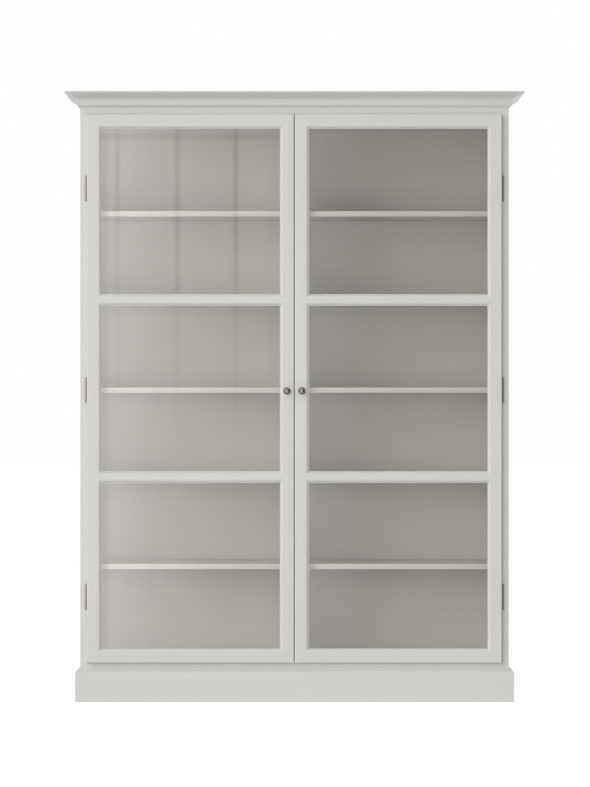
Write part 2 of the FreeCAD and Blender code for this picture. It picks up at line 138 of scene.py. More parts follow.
class BookcaseFinish(bpy.types.PropertyGroup):
    """Colours and sheen of the finishes."""

    paint: bpy.props.FloatVectorProperty(
        name="Paint", description="Colour of the painted wood", subtype="COLOR", size=3,
        default=linear("#DEDDDB"), min=0, max=1)
    paint_roughness: bpy.props.FloatProperty(
        name="Paint roughness", description="How soft the paint's sheen is", subtype="FACTOR",
        default=0.42, min=0, max=1)
    glass: bpy.props.FloatVectorProperty(
        name="Glass", description="Tint of the panes", subtype="COLOR", size=3,
        default=linear("#F8F7F5"), min=0, max=1)
    pewter_dark: bpy.props.FloatVectorProperty(
        name="Pewter, dark", description="Darker tone of the knobs", subtype="COLOR", size=3,
        default=linear("#7A7772"), min=0, max=1)
    pewter_bright: bpy.props.FloatVectorProperty(
        name="Pewter, bright", description="Lighter tone of the knobs", subtype="COLOR", size=3,
        default=linear("#9B9792"), min=0, max=1)
    nickel_dark: bpy.props.FloatVectorProperty(
        name="Nickel, dark", description="Darker tone of the hinges", subtype="COLOR", size=3,
        default=linear("#9A9690"), min=0, max=1)
    nickel_bright: bpy.props.FloatVectorProperty(
        name="Nickel, bright", description="Lighter tone of the hinges", subtype="COLOR", size=3,
        default=linear("#B8B4AE"), min=0, max=1)


class BookcaseStage(bpy.types.PropertyGroup):
    """Camera and light."""

    camera_distance: bpy.props.FloatProperty(
        name="Camera distance", description="From the face frame to the camera", unit="LENGTH",
        default=11.984)
    camera_height: bpy.props.FloatProperty(
        name="Camera height", description="Above the floor", unit="LENGTH", default=1.0484)
    camera_offset: bpy.props.FloatProperty(
        name="Camera offset", description="To the right of the centre plane", unit="LENGTH", default=0.0016)
    focal_px: bpy.props.FloatProperty(
        name="Focal length in pixels", description="At the photograph's own size", default=3523.0)
    key_strength: bpy.props.FloatProperty(
        name="Key light", description="Wide soft light from the upper left", default=1.7)
    key_angle: bpy.props.FloatProperty(
        name="Key angle", description="Width of the key light", subtype="ANGLE", default=math.radians(75))
    front_power: bpy.props.FloatProperty(
        name="Front panel", description="Low soft panel in front", unit="POWER", default=50.0)
    back_power: bpy.props.FloatProperty(
        name="Back panel", description="Soft panel behind on the right", unit="POWER", default=80.0)
    ambient: bpy.props.FloatProperty(
        name="Ambient", description="Even light from all round", default=0.307)
    floor_white: bpy.props.FloatProperty(
        name="Floor white", description="Glow that keeps the floor white to the eye", default=1.25)
    floor_shadow: bpy.props.FloatProperty(
        name="Floor shadow", description="How much of the object's shadow shows on the floor",
        subtype="FACTOR", default=0.26, min=0, max=1)
    screen_left: bpy.props.FloatProperty(
        name="Left screen", description="Glow of the bright screen that the left door's glass mirrors",
        default=1.0)
    screen_right: bpy.props.FloatProperty(
        name="Right screen", description="Glow of the dim screen that the right door's glass mirrors",
        default=1.0)


def ring_faces(rings, points):
    """Quads between each closed ring of points and the next one."""
    start = np.arange(rings - 1)[:, None] * points
    here = np.arange(points)[None, :]
    there = (here + 1) % points
    corners = [start + here, start + there, start + points + there, start + points + here]
    return np.stack(corners, axis=-1).reshape(-1, 4)


def outward(skins):
    """Skins with the rings reversed where they would face inwards.

    Six times the volume inside is the sum of p.(q x r) over the triangles of the quads and of both ends.
    """
    here, there = skins, np.roll(skins, -1, axis=2)

    def sixfold(p, q, r):
        return np.sum(p * np.cross(q, r), axis=(1, 2, 3))

    hub = np.repeat(skins[:, :, :1], skins.shape[2], axis=2)
    volume = sixfold(here[:, :-1], there[:, :-1], there[:, 1:])
    volume += sixfold(here[:, :-1], there[:, 1:], here[:, 1:])
    volume += sixfold(hub[:, -1:], here[:, -1:], there[:, -1:])
    volume -= sixfold(hub[:, :1], here[:, :1], there[:, :1])
    return np.where(volume[:, None, None, None] < 0, skins[:, :, ::-1], skins)


def make_piece(name, skins, material, crease=math.radians(28)):
    """Piece of one or more closed skins.

    A skin is a stack of rings, (rings, points, 3), closed at both ends.
    """
    skins = np.asarray(skins, float)
    skins = outward(skins.reshape(-1, *skins.shape[-3:]))
    copies, rings, points, _ = skins.shape
    offsets = np.arange(copies)[:, None] * rings * points
    quads = ring_faces(rings, points)[None] + offsets[:, :, None]
    near_ends = np.arange(points)[None, ::-1] + offsets
    far_ends = np.arange(points)[None] + (rings - 1) * points + offsets
    mesh = bpy.data.meshes.new(name)
    mesh.from_pydata(skins.reshape(-1, 3).tolist(), [], [
        *quads.reshape(-1, 4).tolist(), *near_ends.tolist(), *far_ends.tolist()])
    mesh.shade_smooth()
    mesh.set_sharp_from_angle(angle=crease)
    mesh.materials.append(bpy.data.materials[material])
    piece = bpy.data.objects.new(name, mesh)
    bpy.context.scene.collection.objects.link(piece)
    return piece


def fit(piece, body, slot, *nodes):
    """Puts a piece on its body, in place of the nodes that it stands for; its slot is not used."""
    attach(piece, body)
    if nodes:
        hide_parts(*nodes)


def eased(corners, cuts, steps=4):
    """Closed outline with softened corners.

    A corner P becomes (1-t)^2 A + 2t(1-t) P + t^2 B, from A to B, both a cut short of P. A cut of 0 keeps P,
    and a cut is at most 0.4 of the shorter side beside it.
    """
    before = np.roll(corners, 1, axis=0) - corners
    after = np.roll(corners, -1, axis=0) - corners
    before_length = np.linalg.norm(before, axis=1, keepdims=True)
    after_length = np.linalg.norm(after, axis=1, keepdims=True)
    most = 0.4 * np.minimum(before_length, after_length)
    cut = np.minimum(cuts[:, None], most)
    start = (corners + before / before_length * cut)[:, None]
    end = (corners + after / after_length * cut)[:, None]
    t = np.linspace(0, 1, steps)[None, :, None]
    curve = (1 - t) ** 2 * start + 2 * t * (1 - t) * corners[:, None] + t ** 2 * end
    keep = (np.arange(steps)[None, :] == 0) | (cuts[:, None] > 0)
    return curve[keep]


def arc(start, through, end, steps):
    """Points on the circle through three points.

    With z as x + iy and w = (end - start)/(through - start), the centre is
    start + (through - start)(w - |w|^2)/(2i Im w), and the points turn about it by even steps.
    """
    a, b, c = (complex(*place) for place in (start, through, end))
    w = (c - a) / (b - a)
    centre = a + (b - a) * (w - abs(w) ** 2) / (2j * w.imag)
    half_turn, turn = np.angle([(b - centre) / (a - centre), (c - centre) / (a - centre)])
    if half_turn * turn < 0:
        turn += math.copysign(2 * math.pi, half_turn)
    z = centre + (a - centre) * np.exp(1j * turn * np.linspace(0, 1, steps))
    return np.stack([z.real, z.imag], axis=-1)


def moulding(outline, start, along, length, out, leans):
    """Rings of a straight moulding: start + along s + out p + up h for each (p, h) of the outline.

    s runs from lean p at the near end to length + lean p at the far end, so a lean of 1 or -1 is a mitre.
    """
    p, h = outline.T
    s = np.stack([leans[0] * p, length + leans[1] * p])
    across = p[:, None] * np.array(out) + h[:, None] * UP
    return np.array(start) + s[..., None] * np.array(along) + across[None]


def eased_block(low, high, ease, steps=4):
    """Rings of a board with every edge rounded.

    At angle a, from 0.2 by an end face to a right angle, the ring is ease (1 - cos a) from the end. It goes
    round the four corners, drawn in by ease, with quarter circles of radius ease sin a.
    """
    low, high = np.array(low), np.array(high)
    a = np.linspace(0.2, math.pi / 2, steps)
    inset = ease * (1 - np.cos(a))
    x = np.concatenate([low[0] + inset, high[0] - inset[::-1]])
    radius = ease * np.sin(np.concatenate([a, a[::-1]]))
    quarter = np.repeat(np.arange(4), steps)
    turn = quarter * math.pi / 2 + np.tile(np.linspace(0, math.pi / 2, steps), 4)
    sides = np.array([[1, 1], [-1, 1], [-1, -1], [1, -1]])[quarter]
    corners = (low[1:] + high[1:]) / 2 + sides * ((high[1:] - low[1:]) / 2 - ease)
    circle = np.stack([np.cos(turn), np.sin(turn)], axis=-1)
    yz = corners[None] + radius[:, None, None] * circle[None]
    return np.concatenate([np.broadcast_to(x[:, None, None], (*yz.shape[:2], 1)), yz], axis=-1)


def turned(profile, base, axis, across, segments):
    """Rings of a turned piece: base + axis h + r (across cos t + axis x across sin t) for each (r, h)."""
    r, h = profile.T
    t = np.linspace(0, 2 * math.pi, segments, endpoint=False)
    axis, across = np.array(axis, float), np.array(across, float)
    spoke = np.cos(t)[:, None] * across + np.sin(t)[:, None] * np.cross(axis, across)
    return np.array(base) + h[:, None, None] * axis + r[:, None, None] * spoke[None]


def opaque(colour):
    """Colour with full alpha, as a shader socket takes it."""
    return (*colour, 1.0)


def add(tree, kind, inputs=None, **settings):
    """Adds a node with its settings. An input is a value, or a socket to link."""
    node = tree.nodes.new(kind)
    for name, value in settings.items():
        setattr(node, name, value)
    for name, value in (inputs or {}).items():
        if isinstance(value, bpy.types.NodeSocket):
            tree.links.new(value, node.inputs[name])
        else:
            node.inputs[name].default_value = value
    return node


def material_tree(name):
    """Empty node tree of a new material."""
    material = bpy.data.materials.new(name)
    material.use_nodes = True
    material.node_tree.nodes.clear()
    return material.node_tree


def grain(tree, size_mm, detail):
    """Noise in the piece's own coordinates, with grains of about that size."""
    where = add(tree, "ShaderNodeTexCoord").outputs["Object"]
    noise = add(tree, "ShaderNodeTexNoise", {
        "Vector": where, "Scale": 1 / (size_mm * MM), "Detail": detail})
    return noise.outputs["Fac"]


def surface(tree, shader):
    """Ends a material at its surface output."""
    add(tree, "ShaderNodeOutputMaterial", {"Surface": shader})


def satin_paint(name, colour, roughness):
    """Satin alkyd paint, rolled on primed board: close to one tone, soft sheen, faint roller stipple."""
    tree = material_tree(name)
    spread = 0.05
    stipple = grain(tree, size_mm=2.2, detail=2.0)
    mottle = grain(tree, size_mm=45.0, detail=3.0)
    tone = grain(tree, size_mm=420.0, detail=1.0)
    shade = add(tree, "ShaderNodeMapRange", {"Value": tone, "To Min": 0.985, "To Max": 1.015})
    tint = add(tree, "ShaderNodeVectorMath", {0: colour, "Scale": shade.outputs["Result"]}, operation="SCALE")
    sheen = add(tree, "ShaderNodeMapRange", {
        "Value": mottle, "To Min": roughness - spread, "To Max": roughness + spread})
    bump = add(tree, "ShaderNodeBump", {"Height": stipple, "Strength": 0.25, "Distance": 0.05 * MM})
    paint = add(tree, "ShaderNodeBsdfPrincipled", {
        "Base Color": tint.outputs["Vector"], "Roughness": sheen.outputs["Result"],
        "Normal": bump.outputs["Normal"], "IOR": 1.48})
    surface(tree, paint.outputs["BSDF"])


def float_glass(name, colour):
    """Clear float glass with two sharp mirror faces.

    Light from the lamps and light that the wood scatters pass straight through.
    """
    tree = material_tree(name)
    glass = add(tree, "ShaderNodeBsdfPrincipled", {
        "Base Color": opaque(colour), "Roughness": 0.0, "IOR": 1.52, "Transmission Weight": 1.0})
    clear = add(tree, "ShaderNodeBsdfTransparent", {"Color": opaque(colour)})
    path = add(tree, "ShaderNodeLightPath")
    lighting = add(tree, "ShaderNodeMath", {
        0: path.outputs["Is Shadow Ray"], 1: path.outputs["Is Diffuse Ray"]}, operation="MAXIMUM")
    mix = add(tree, "ShaderNodeMixShader", {
        0: lighting.outputs[0], 1: glass.outputs["BSDF"], 2: clear.outputs["BSDF"]})
    surface(tree, mix.outputs["Shader"])


def worn_metal(name, dark, bright, roughness, grain_mm):
    """Cast or plated metal with a fine mottle of two close tones."""
    tree = material_tree(name)
    spread = 0.08
    mottle = grain(tree, grain_mm, detail=4.0)
    tint = add(tree, "ShaderNodeMix", {
        "Factor": mottle, "A": opaque(dark), "B": opaque(bright)}, data_type="RGBA")
    sheen = add(tree, "ShaderNodeMapRange", {
        "Value": mottle, "To Min": roughness + spread, "To Max": roughness - spread})
    bump = add(tree, "ShaderNodeBump", {"Height": mottle, "Strength": 0.2, "Distance": 0.03 * MM})
    metal = add(tree, "ShaderNodeBsdfPrincipled", {
        "Base Color": tint.outputs["Result"], "Metallic": 1.0,
        "Roughness": sheen.outputs["Result"], "Normal": bump.outputs["Normal"]})
    surface(tree, metal.outputs["BSDF"])


def moulded_plastic(name, colour):
    """White ABS from a spark-eroded mould: even tone, fine grain, slightly soft highlights."""
    tree = material_tree(name)
    texture = grain(tree, size_mm=0.8, detail=2.0)
    bump = add(tree, "ShaderNodeBump", {"Height": texture, "Strength": 0.2, "Distance": 0.02 * MM})
    plastic = add(tree, "ShaderNodeBsdfPrincipled", {
        "Base Color": opaque(colour), "Roughness": 0.4, "Normal": bump.outputs["Normal"], "IOR": 1.53})
    surface(tree, plastic.outputs["BSDF"])


FINISHES = {
    "painted_wood": "satin_paint_on_board",
    "painted_back": "satin_paint_on_back",
    "glass": "float_glass",
    "knob_metal": "antique_pewter",
    "hinge_metal": "satin_nickel",
    "zinc_steel": "zinc_plated_steel",
    "catch_plastic": "white_abs",
}


class BOOKCASE_OT_finish(bpy.types.Operator):
    """Finishes, put on the construction's own pieces"""

    bl_idname = "bookcase.finish"
    bl_label = "Finishes"

    def execute(self, context):
        finish = context.scene.bookcase_finish
        back_roughness = finish.paint_roughness + 0.06
        satin_paint("satin_paint_on_board", finish.paint, finish.paint_roughness)
        satin_paint("satin_paint_on_back", finish.paint, back_roughness)
        float_glass("float_glass", finish.glass)
        worn_metal("antique_pewter", finish.pewter_dark, finish.pewter_bright, roughness=0.28, grain_mm=1.5)
        worn_metal("satin_nickel", finish.nickel_dark, finish.nickel_bright, roughness=0.36, grain_mm=0.9)
        worn_metal("zinc_plated_steel", linear("#B4B5B6"), linear("#CDCECE"), roughness=0.3, grain_mm=1.2)
        worn_metal("sintered_magnet", linear("#3B3B3D"), linear("#4C4C4E"), roughness=0.55, grain_mm=0.6)
        moulded_plastic("white_abs", linear("#E4E2DF"))
        for part in frame["record"]["subparts"]:
            slots = frame["nodes"][part["node"]].data.materials
            slots.clear()
            slots.append(bpy.data.materials[FINISHES[part["material_slot"]]])
        return {"FINISHED"}


def run_round_the_body(kind, outline, base):
    """Front and two returns of a moulding, mitred at the front corners, for the nodes of that kind."""
    low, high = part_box("dust_board")
    front, depth = low.y, high.y - low.y
    start = (low.x, front, base)
    rings = moulding(outline, start, (1, 0, 0), high.x - low.x, (0, -1, 0), (-1, 1))
    piece = make_piece("painted_" + kind + "_front", rings, FINISHES["painted_wood"])
    fit(piece, "carcass", "painted_wood", kind + "_front")
    for side, sign in SIDES.items():
        start = (high.x * sign, front, base)
        rings = moulding(outline, start, (0, 1, 0), depth, (sign, 0, 0), (-1, 0))
        piece = make_piece("painted_" + kind + "_" + side + "_return", rings, FINISHES["painted_wood"])
        fit(piece, "carcass", "painted_wood", kind + "_" + side + "_return")


class BOOKCASE_OT_crown(bpy.types.Operator):
    """Crown with softened arrises

    Its section is a bevelled foot, an upright band, a hollow, a slope tangent to the hollow, and a lip. The
    hollow is a circle of radius r about C, which is r out from the band's top. It turns by pi - a - b, where
    a is the direction from C to the slope's end and the cosine of b is r over the distance between them.
    """

    bl_idname = "bookcase.crown"
    bl_label = "Crown"

    def execute(self, context):
        joinery = context.scene.bookcase_joinery
        low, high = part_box("crown_front")
        foot, bevel, radius = joinery.crown_foot, joinery.crown_bevel, joinery.cove_radius
        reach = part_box("dust_board")[0].y - low.y
        height = high.z - low.z
        face = height - joinery.crown_face
        band = bevel + joinery.crown_band
        slope_end = np.array([reach - joinery.crown_lip, face - joinery.crown_lip_rise])
        out, rise = slope_end - (foot + radius, band)
        turn = math.pi - math.atan2(rise, out) - math.acos(radius / math.hypot(out, rise))
        swing = np.linspace(0, turn, 20)
        hollow = np.stack([foot + radius * (1 - np.cos(swing)), band + radius * np.sin(swing)], axis=-1)
        below = np.array([(0, 0), (foot - bevel, 0), (foot, bevel)])
        above = np.array([slope_end, (reach, face), (reach, height), (0, height)])
        arris = joinery.arris
        cuts = np.concatenate([[0, 0, arris], np.zeros(len(hollow)), [arris, arris, 1.5 * arris, 0]])
        run_round_the_body("crown", eased(np.concatenate([below, hollow, above]), cuts), low.z)
        return {"FINISHED"}


class BOOKCASE_OT_plinth(bpy.types.Operator):
    """Plinth board with a softened chamfer"""

    bl_idname = "bookcase.plinth"
    bl_label = "Plinth"

    def execute(self, context):
        joinery = context.scene.bookcase_joinery
        low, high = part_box("plinth_front")
        chamfer, height = joinery.plinth_chamfer, high.z - low.z
        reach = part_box("dust_board")[0].y - low.y
        corners = np.array([
            (0, 0), (reach, 0), (reach, height - chamfer), (reach - chamfer, height), (0, height)])
        arris = joinery.arris
        run_round_the_body("plinth", eased(corners, np.array([0, arris, 1.6 * arris, arris, 0])), low.z)
        return {"FINISHED"}


class BOOKCASE_OT_shelves(bpy.types.Operator):
    """Loose shelves with rounded edges"""

    bl_idname = "bookcase.shelves"
    bl_label = "Shelves"

    def execute(self, context):
        ease = context.scene.bookcase_joinery.shelf_arris
        for side in SIDES:
            for index in range(1, SHELVES_PER_BAY + 1):
                node = "%s_shelf_%d" % (side, index)
                rings = eased_block(*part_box(node), ease)
                piece = make_piece("painted_" + node, rings, FINISHES["painted_wood"])
                fit(piece, "carcass", "painted_wood", node)
        return {"FINISHED"}


def knob_profile(hardware, radius, stud_end):
    """Half section of a knob as (radius, height): stud, foot, hollow neck, round rim and a domed top.

    The dome is a ball of radius (w^2 + h^2)/2h, where w is its half width at the rim and h its rise.
    """
    foot, neck, rim = hardware.knob_foot, hardware.knob_neck, hardware.knob_round
    length = hardware.knob_length
    stud, tip = 2.0 * MM, 0.05 * MM
    foot_height, edge = 2.0 * MM, 0.5 * MM
    neck_height, rim_height = 0.3 * length, 0.66 * length
    axis = radius - rim
    diagonal = rim * math.sqrt(0.5)
    dome = np.array([axis + diagonal, rim_height + diagonal])
    rise = length - dome[1]
    ball = (dome[0] ** 2 + rise ** 2) / (2 * rise)
    midway = (dome[0] / 2, length - ball + math.sqrt(ball ** 2 - dome[0] ** 2 / 4))
    neck_curve = arc((foot - edge, foot_height), (neck, neck_height), (axis, rim_height - rim), steps=26)
    rim_curve = arc((axis, rim_height - rim), (radius, rim_height), dome, steps=22)
    top_curve = arc(dome, midway, (tip, length), steps=24)
    stem = np.array([(stud, stud_end), (stud, 0), (foot, 0), (foot, foot_height - edge)])
    return np.concatenate([stem, neck_curve, rim_curve[1:], top_curve[1:]])


class BOOKCASE_OT_knobs(bpy.types.Operator):
    """Turned knobs with a hollow neck"""

    bl_idname = "bookcase.knobs"
    bl_label = "Knobs"

    def execute(self, context):
        hardware = context.scene.bookcase_hardware
        for side in SIDES:
            low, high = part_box(side + "_door_knob")
            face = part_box(side + "_door_meeting_stile")[0].y
            base = ((low.x + high.x) / 2, face, (low.z + high.z) / 2)
            profile = knob_profile(hardware, (high.x - low.x) / 2, face - high.y)
            rings = turned(profile, base, (0, -1, 0), (1, 0, 0), segments=72)
            piece = make_piece(side + "_turned_knob", rings, FINISHES["knob_metal"])
            fit(piece, side + "_door", "knob_metal", side + "_door_knob")
        return {"FINISHED"}


def screw_rings(places, way, radius, head_depth, length):
    """Rings of countersunk screws with a cross recess, driven along Y.

    The recess's outline at angle t is the smaller of arm/max(|cos t|, |sin t|) and
    slot/min(|cos t|, |sin t|). The rings go from the recess's floor, drawn in to a tenth and to 0.6 of that
    outline, to its mouth, out to the head's edge, and down to the shank and its tip of 0.8 the radius.
    """
    head = radius + head_depth
    arm, slot, recess = 0.62 * head, 0.15 * head, 0.75 * head_depth
    tiny = 1e-9
    corner = math.atan2(slot, arm)
    quarter = np.array([0, corner, math.pi / 6, math.pi / 4, math.pi / 3, math.pi / 2 - corner])
    t = (np.arange(4)[:, None] * math.pi / 2 + quarter).ravel()
    spokes = np.abs(np.stack([np.cos(t), np.sin(t)]))
    cross = np.minimum(arm / spokes.max(0), slot / np.maximum(spokes.min(0), tiny))
    circle = np.ones_like(t)
    r = np.stack([0.1 * cross, 0.6 * cross, cross, head * circle, radius * circle, 0.8 * radius * circle])
    depth = np.array([recess, recess, 0, 0, head_depth, head_depth + length])
    shape = np.stack([r * np.cos(t), np.broadcast_to(way * depth[:, None], r.shape), r * np.sin(t)], axis=-1)
    return np.array(places)[:, None, None, :] + shape[None]


def hinge_screw_places(sign, face):
    """Screw positions of one side's three hinges, on the plane y = face."""
    spread = np.array([-0.32, 0.0, 0.32]) * LEAF_LENGTH
    levels = (np.array(HINGE_LEVELS)[:, None] + spread).ravel()
    x = sign * (HINGE_AXIS - SCREW_LINE)
    return np.stack([np.full_like(levels, x), np.full_like(levels, face), levels], axis=-1)


def strike_screw_places(side):
    """Screw positions of one door's strike plate, on the plate's face."""
    low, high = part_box(side + "_door_strike_plate")
    middle = (low + high) / 2
    levels = middle.z + np.array([-0.36, 0.36]) * (high.z - low.z)
    return np.stack([np.full(2, middle.x), np.full(2, high.y), levels], axis=-1)


class BOOKCASE_OT_screws(bpy.types.Operator):
    """Countersunk screws with cross recesses, in the hinges and the strike plates"""

    bl_idname = "bookcase.screws"
    bl_label = "Screws"

    def execute(self, context):
        hardware = context.scene.bookcase_hardware
        leaf, radius = hardware.leaf_thickness, hardware.screw_radius
        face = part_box("left_frame_stile")[0].y
        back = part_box("left_door_hinge_stile")[1].y
        places = np.concatenate([hinge_screw_places(sign, face) for sign in SIDES.values()])
        rings = screw_rings(places, 1, radius, leaf, HINGE_SCREW_LENGTH)
        piece = make_piece("frame_cross_screws", rings, FINISHES["zinc_steel"])
        fit(piece, "carcass", "zinc_steel", "frame_hinge_screws")
        for side, sign in SIDES.items():
            low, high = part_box(side + "_door_strike_plate")
            places = strike_screw_places(side)
            strike_rings = screw_rings(
                places, -1, hardware.strike_screw_radius, high.y - low.y, STRIKE_SCREW_LENGTH)
            hinge_rings = screw_rings(hinge_screw_places(sign, back), -1, radius, leaf, HINGE_SCREW_LENGTH)
            rings = np.concatenate([hinge_rings, strike_rings])
            piece = make_piece(side + "_door_cross_screws", rings, FINISHES["zinc_steel"])
            fit(piece, side + "_door", "zinc_steel", side + "_door_screws")
        return {"FINISHED"}


class BOOKCASE_OT_hinge_pins(bpy.types.Operator):
    """Hinge pins with domed ends

    At angle a, from 0.02 at its tip to a right angle, a dome's radius is that of the head times sin a, and it
    stands its rise times cos a past the barrel.
    """

    bl_idname = "bookcase.hinge_pins"
    bl_label = "Hinge pins"

    def execute(self, context):
        hardware = context.scene.bookcase_hardware
        low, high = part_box("hinge_pins")
        radius, shaft, rise = hardware.pin_head_radius, hardware.pin_radius, hardware.pin_head_height
        a = np.linspace(0.02, math.pi / 2, 10)
        foot = np.stack([radius * np.sin(a), -rise * np.cos(a)], axis=-1)
        head = np.stack([foot[::-1, 0], LEAF_LENGTH - foot[::-1, 1]], axis=-1)
        profile = np.concatenate([foot, [(shaft, 0), (shaft, LEAF_LENGTH)], head])
        y = (low.y + high.y) / 2
        rings = [
            turned(profile, (sign * HINGE_AXIS, y, level - LEAF_LENGTH / 2), UP, (1, 0, 0), segments=32)
            for sign in SIDES.values() for level in HINGE_LEVELS]
        piece = make_piece("domed_hinge_pins", rings, FINISHES["hinge_metal"])
        fit(piece, "carcass", "hinge_metal", "hinge_pins")
        return {"FINISHED"}


class BOOKCASE_OT_catch_poles(bpy.types.Operator):
    """Steel pole strips on both sides of a magnet, in the mouth of each catch"""

    bl_idname = "bookcase.catch_poles"
    bl_label = "Catch poles"

    def execute(self, context):
        inset, strip, gap, ease = 3 * MM, 1.6 * MM, 0.2 * MM, 0.15 * MM
        setback, recess = 0.3 * MM, 2.0 * MM
        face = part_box("magnetic_catches")[0].y
        front, floor = face + setback, face + recess
        strips, magnets = [], []
        for side in SIDES:
            low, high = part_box(side + "_door_strike_plate")
            left, right = low.x + inset, high.x - inset
            bottom, top = low.z + 2 * inset, high.z - 2 * inset
            strips.append(eased_block((left, front, bottom), (left + strip, floor, top), ease))
            strips.append(eased_block((right - strip, front, bottom), (right, floor, top), ease))
            reach = strip + gap
            magnets.append(eased_block(
                (left + reach, front + gap, bottom), (right - reach, floor, top), ease))
        pieces = (
            ("catch_pole_strips", strips, FINISHES["zinc_steel"]),
            ("catch_magnets", magnets, "sintered_magnet"))
        for name, rings, material in pieces:
            fit(make_piece(name, rings, material), "carcass", "zinc_steel")
        return {"FINISHED"}


class BOOKCASE_OT_stage(bpy.types.Operator):
    """Camera, light, floor and the screens that the glass mirrors"""

    bl_idname = "bookcase.stage"
    bl_label = "Stage"

    def execute(self, context):
        stage = context.scene.bookcase_stage
        place_camera(context, stage)
        light_the_room(context, stage)
        lay_the_floor(context, stage)
        set_the_screens(context, stage)
        return {"FINISHED"}


def place_camera(context, stage):
    """Level camera in front of the doors."""
    data = bpy.data.cameras.new("camera")
    data.sensor_width = 36.0
    data.lens = stage.focal_px / PHOTO_HEIGHT_PX * data.sensor_width
    data.clip_end = 100.0
    camera = bpy.data.objects.new("camera", data)
    frame_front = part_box("left_frame_stile")[0].y
    camera.location = (stage.camera_offset, frame_front - stage.camera_distance, stage.camera_height)
    camera.rotation_euler = (math.pi / 2, 0, 0)
    context.scene.collection.objects.link(camera)
    context.scene.camera = camera


def seen_directly(tree):
    """1 for a ray from the camera, a mirror face or through glass, and 0 for light on the object."""
    path = add(tree, "ShaderNodeLightPath")
    sight = add(tree, "ShaderNodeMath", {
        0: path.outputs["Is Camera Ray"], 1: path.outputs["Is Glossy Ray"]}, operation="MAXIMUM")
    return add(tree, "ShaderNodeMath", {
        0: sight.outputs[0], 1: path.outputs["Is Transmission Ray"]}, operation="MAXIMUM").outputs[0]


def hang_lamp(context, name, kind, strength, elevation, azimuth):
    """Lamp that shines from an elevation and an azimuth, in degrees.

    The elevation is above the horizon. The azimuth is 0 in front and negative on the left.
    """
    data = bpy.data.lights.new(name, kind)
    data.energy = strength
    lamp = bpy.data.objects.new(name, data)
    lamp.rotation_euler = (math.radians(90 - elevation), 0, math.radians(azimuth))
    lamp.visible_glossy = False
    lamp.visible_transmission = False
    context.scene.collection.objects.link(lamp)
    return lamp


def hang_panel(context, name, power, elevation, azimuth, place):
    """Soft panel at a place."""
    width, height = 2.0, 2.4
    panel = hang_lamp(context, name, "AREA", power, elevation, azimuth)
    panel.location = place
    panel.data.shape = "RECTANGLE"
    panel.data.size = width
    panel.data.size_y = height


def light_the_room(context, stage):
    """White surroundings to look at, even ambient light, a wide soft key and a panel in front and behind."""
    world = bpy.data.worlds.new("studio")
    context.scene.world = world
    world.use_nodes = True
    tree = world.node_tree
    tree.nodes.clear()
    ambient = add(tree, "ShaderNodeBackground", {
        "Color": opaque(linear("#FFFEFC")), "Strength": stage.ambient})
    white = add(tree, "ShaderNodeBackground", {"Color": (1, 1, 1, 1), "Strength": 1.0})
    mix = add(tree, "ShaderNodeMixShader", {
        0: seen_directly(tree), 1: ambient.outputs["Background"], 2: white.outputs["Background"]})
    add(tree, "ShaderNodeOutputWorld", {"Surface": mix.outputs["Shader"]})
    key = hang_lamp(context, "key", "SUN", stage.key_strength, elevation=25, azimuth=-50)
    key.data.angle = stage.key_angle
    hang_panel(
        context, "front_panel", stage.front_power, elevation=-4, azimuth=-3, place=(-0.3, -5.0, 0.7))
    hang_panel(
        context, "back_panel", stage.back_power, elevation=0, azimuth=143, place=(3.0, 4.0, 1.1))


def stage_sheet(context, name, points, faces, material):
    """Sheet of the stage, which isn't part of the object."""
    mesh = bpy.data.meshes.new(name)
    mesh.from_pydata(points, [], faces)
    mesh.materials.append(bpy.data.materials[material])
    sheet = bpy.data.objects.new(name, mesh)
    context.scene.collection.objects.link(sheet)
    return sheet


def lay_the_floor(context, stage):
    """White floor that keeps a faint shadow and throws light up."""
    tree = material_tree("white_floor")
    matt = add(tree, "ShaderNodeBsdfDiffuse", {"Color": opaque(linear("#EAEAE9"))})
    glow = add(tree, "ShaderNodeEmission", {"Color": (1, 1, 1, 1), "Strength": stage.floor_white})
    pale = add(tree, "ShaderNodeMixShader", {
        0: stage.floor_shadow, 1: glow.outputs["Emission"], 2: matt.outputs["BSDF"]})
    mix = add(tree, "ShaderNodeMixShader", {
        0: seen_directly(tree), 1: matt.outputs["BSDF"], 2: pale.outputs["Shader"]})
    surface(tree, mix.outputs["Shader"])
    reach = 40.0
    corners = [(-reach, -reach, 0), (reach, -reach, 0), (reach, reach, 0), (-reach, reach, 0)]
    stage_sheet(context, "floor", corners, [(0, 1, 2, 3)], "white_floor")


